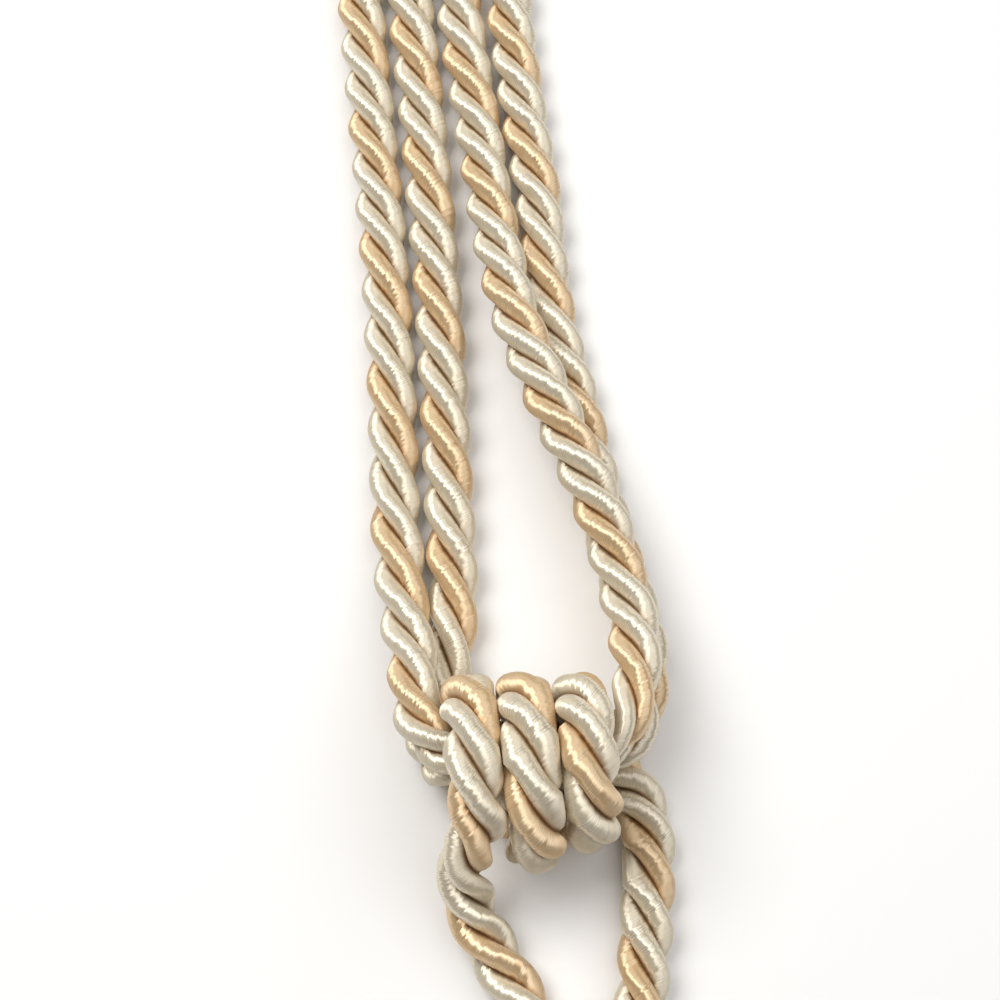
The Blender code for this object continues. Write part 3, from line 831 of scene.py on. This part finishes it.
def satin(name, light, mid, shade_colour, gleam, pitch=THREAD_PITCH, lean=1.0):
    """Satin threads laid side by side: u counts across them in mm, v goes along them from -1 to 1."""
    made, tree, shader = new_material(name)
    place = tree.nodes.new("ShaderNodeUVMap")
    place.uv_map = THREAD_UV
    split = tree.nodes.new("ShaderNodeSeparateXYZ")
    tree.links.new(place.outputs["UV"], split.inputs[0])
    across, along = split.outputs[0], split.outputs[1]

    # The threads slant a little, and wander.
    slanted = maths(tree, "ADD", across, maths(tree, "MULTIPLY", along, THREAD_SLANT))
    drift = noise(tree, place_vector(tree, across, along), WANDERS_A_MM)
    wandering = maths(tree, "ADD", slanted, maths(tree, "MULTIPLY", drift, THREAD_WANDER))
    count = maths(tree, "DIVIDE", wandering, pitch)
    each = chance_for(tree, maths(tree, "FLOOR", count))
    part = maths(tree, "FRACT", count)

    # Each thread leans its own way, a bunch of them leans together, and each is round.
    bunch = noise(tree, place_vector(tree, wandering, along), BUNCHES_A_MM, BUNCH_DETAIL)
    own = swung(tree, each, THREAD_LEAN * lean)
    shared = swung(tree, bunch, BUNCH_LEAN * lean)
    leaning = maths(tree, "ADD", maths(tree, "ADD", own, shared), 0.5)
    rounding = maths(tree, "ADD", swung(tree, part, THREAD_ROUND), 0.5)
    tilt = tree.nodes.new("ShaderNodeNormalMap")
    tilt.uv_map = THREAD_UV
    tree.links.new(place_vector(tree, rounding, leaning, 1.0), tilt.inputs["Color"])
    tree.links.new(tilt.outputs[0], shader.inputs["Normal"])

    # Colour goes from thread to thread, and painted shade darkens it between threads and in the crease
    # between plies.
    patch = noise(tree, place_vector(tree, wandering, along, PATCH_PLACE), PATCHES_A_MM)
    body = mixed(tree, each, mid, light)
    body = mixed(tree, maths(tree, "MULTIPLY", ramped(tree, patch, *PATCH_RANGE), PATCH_STRENGTH), body, mid)
    # painted shade in the gap beside some threads
    from_middle = maths(tree, "ABSOLUTE", maths(tree, "SUBTRACT", part, 0.5))
    depth = maths(tree, "MULTIPLY", maths(tree, "POWER", each, THREAD_GAP_RARITY), THREAD_GAP)
    gap = maths(tree, "MULTIPLY", ramped(tree, from_middle, THREAD_GAP_FROM, 0.5), depth)
    # painted shade in the crease between plies, towards the ply's edges
    crease = ramped(tree, maths(tree, "ABSOLUTE", along), CREASE_FROM, 1.0)
    shaded = maths(tree, "MAXIMUM", gap, crease)
    tree.links.new(mixed(tree, shaded, body, shade_colour), shader.inputs["Base Color"])

    # What gleams is the thread's own face: metallic rises with the painted shade, so the painted creases and
    # gaps reflect only their dark shade colour and stay dark.
    shade_metallic = maths(tree, "MULTIPLY", shaded, CREASE_METALLIC - SATIN_METALLIC)
    tree.links.new(maths(tree, "ADD", shade_metallic, SATIN_METALLIC), shader.inputs["Metallic"])
    shader.inputs["Roughness"].default_value = SATIN_ROUGHNESS
    shader.inputs["IOR"].default_value = SATIN_IOR
    shader.inputs["Specular IOR Level"].default_value = SATIN_SPECULAR
    shader.inputs["Specular Tint"].default_value = (*gleam, 1.0)
    shader.inputs["Anisotropic"].default_value = SATIN_ANISOTROPY
    shader.inputs["Sheen Weight"].default_value = SATIN_SHEEN
    shader.inputs["Sheen Roughness"].default_value = SHEEN_ROUGHNESS
    tangent = tree.nodes.new("ShaderNodeTangent")
    tangent.direction_type = "UV_MAP"
    tangent.uv_map = THREAD_UV
    tree.links.new(tangent.outputs[0], shader.inputs["Tangent"])
    return made


def pale_surface(name, paleness):
    """Lit near the tieback, and pale by itself further off, where the lights don't reach."""
    made, tree, shader = new_material(name)
    made.cycles.emission_sampling = "NONE"
    shader.inputs["Base Color"].default_value = (*FLOOR_COLOUR, 1.0)
    shader.inputs["Roughness"].default_value = FLOOR_ROUGHNESS
    place = tree.nodes.new("ShaderNodeTexCoord")
    distance = tree.nodes.new("ShaderNodeVectorMath")
    distance.operation = "LENGTH"
    tree.links.new(place.outputs["Object"], distance.inputs[0])
    share = ramped(tree, distance.outputs["Value"], LIT_TO * MM, PALE_FROM * MM)
    shader.inputs["Emission Color"].default_value = (*FLOOR_COLOUR, 1.0)
    tree.links.new(maths(tree, "MULTIPLY", share, paleness), shader.inputs["Emission Strength"])
    return made


# ---------------------------------------------------------------- stage

def camera():
    """Above the hanging cords, looking down and a little towards the loops."""
    data = bpy.data.cameras.new("camera")
    data.sensor_width = SENSOR_WIDTH
    data.lens = LENS
    made = bpy.data.objects.new("camera", data)
    made.location = tuple(c * MM for c in CAMERA_AT)
    made.rotation_euler = (math.radians(CAMERA_TILT), 0.0, 0.0)
    bpy.context.scene.collection.objects.link(made)
    bpy.context.scene.camera = made


def floor():
    half = FLOOR_SIZE / 2
    corners = [(-half, -half, 0.0), (half, -half, 0.0), (half, half, 0.0), (-half, half, 0.0)]
    made = new_object("floor", corners, [(0, 1, 2, 3)], [pale_surface("pale_floor", FLOOR_GLOW)])


def wall():
    """A ring round the floor, seen by the camera alone: it throws no light and no shadow."""
    angles = [2 * math.pi * k / WALL_SIDES for k in range(WALL_SIDES)]
    foot = [(FLOOR_SIZE / 2 * math.cos(a), FLOOR_SIZE / 2 * math.sin(a), 0.0) for a in angles]
    top = [(x, y, WALL_HEIGHT) for x, y, _ in foot]
    sides = []
    for k in range(WALL_SIDES):
        beyond = (k + 1) % WALL_SIDES
        sides.append((k, beyond, WALL_SIDES + beyond, WALL_SIDES + k))
    made = new_object("wall", foot + top, sides, [pale_surface("pale_wall", WALL_GLOW)])
    made.visible_diffuse = False
    made.visible_glossy = False
    made.visible_shadow = False


def area_light(name, at, towards, size, power, colour):
    data = bpy.data.lights.new(name, "AREA")
    data.shape = "RECTANGLE"
    data.size, data.size_y = (s * MM for s in size)
    data.energy = power
    data.color = colour
    made = bpy.data.objects.new(name, data)
    made.location = tuple(a * MM for a in at)
    away = np.array(towards, float) - np.array(at, float)
    tilt = math.atan2(math.hypot(away[0], away[1]), -away[2])
    made.rotation_euler = (tilt, 0.0, math.atan2(away[1], away[0]) - math.pi / 2)
    bpy.context.scene.collection.objects.link(made)


def lighting():
    """A window on the left, a wide light above on the right, and a dim warm room."""
    world = bpy.data.worlds.new("room")
    world.use_nodes = True
    back = world.node_tree.nodes["Background"]
    back.inputs["Color"].default_value = ROOM_COLOUR
    back.inputs["Strength"].default_value = ROOM_LIGHT
    bpy.context.scene.world = world
    for light in LIGHTS:
        area_light(*light)
    bpy.context.scene.view_settings.view_transform = "Standard"


# ---------------------------------------------------------------- the tieback

def dress(piece, node):
    """Put a piece in the place of a node's solid, on the one body that there is."""
    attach(piece, "root")
    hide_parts(node)


def lay_cord(name, node, rows, twist, finishes, seed, neighbours=None):
    """One of the two cords that the tieback is made of."""
    piece, line = rope(name, rows, twist, finishes, seed, neighbours=neighbours)
    dress(piece, node)


def cords(ivory, gold):
    """The looped cord and the hanging cord, which is wrapped round it."""
    finishes = (ivory, gold)
    loops = RIGHT_LOOP_UP + RIGHT_LOOP_END + RIGHT_LOOP_DOWN + THROUGH_THE_KNOT
    loops += LEFT_LOOP_UP + LEFT_LOOP_END + LEFT_LOOP_DOWN
    twist = laid_up(LOOP_TURNS, LOOP_GOLD_AT)
    lay_cord("looped_rope", "loop_cord", loops, twist, finishes, LOOP_SEED)

    hanging = TAIL_TO_FIRST_WRAP + wraps() + TAIL_FROM_LAST_WRAP
    twist = laid_up(HANGING_TURNS, HANGING_GOLD_AT)
    lay_cord(
        "hanging_rope",
        "hanging_cord",
        hanging,
        twist,
        finishes,
        HANGING_SEED,
        wrap_neighbours,
    )


def tassel(ivory, gold):
    dress(tassel_head(ivory, gold), "tassel")
    strand_tones = (
        satin("ivory_strand", *IVORY, pitch=STRAND_THREAD_PITCH, lean=STRAND_THREAD_LEAN),
        satin("gold_strand", *GOLD, pitch=STRAND_THREAD_PITCH, lean=STRAND_THREAD_LEAN),
    )
    for piece, slot in zip(skirt(*strand_tones), ("ivory_satin", "gold_satin")):
        dress(piece, "tassel")


def binding(ivory, gold):
    """The cord round the tassel's neck, which is gold with one ivory ply."""
    twist = evenly_laid_up(NECK_LAY)
    finishes = (gold, ivory)
    piece, _ = rope("neck_rope", neck_rows(), twist, finishes, NECK_SEED, NECK_RING_STEP, NECK_CORD_SIZE)
    dress(piece, "neck_binding")


def tieback():
    ivory = satin("ivory_satin", *IVORY)
    gold = satin("gold_satin", *GOLD)
    cords(ivory, gold)
    tassel(ivory, gold)
    binding(ivory, gold)


camera()
floor()
wall()
lighting()
tieback()
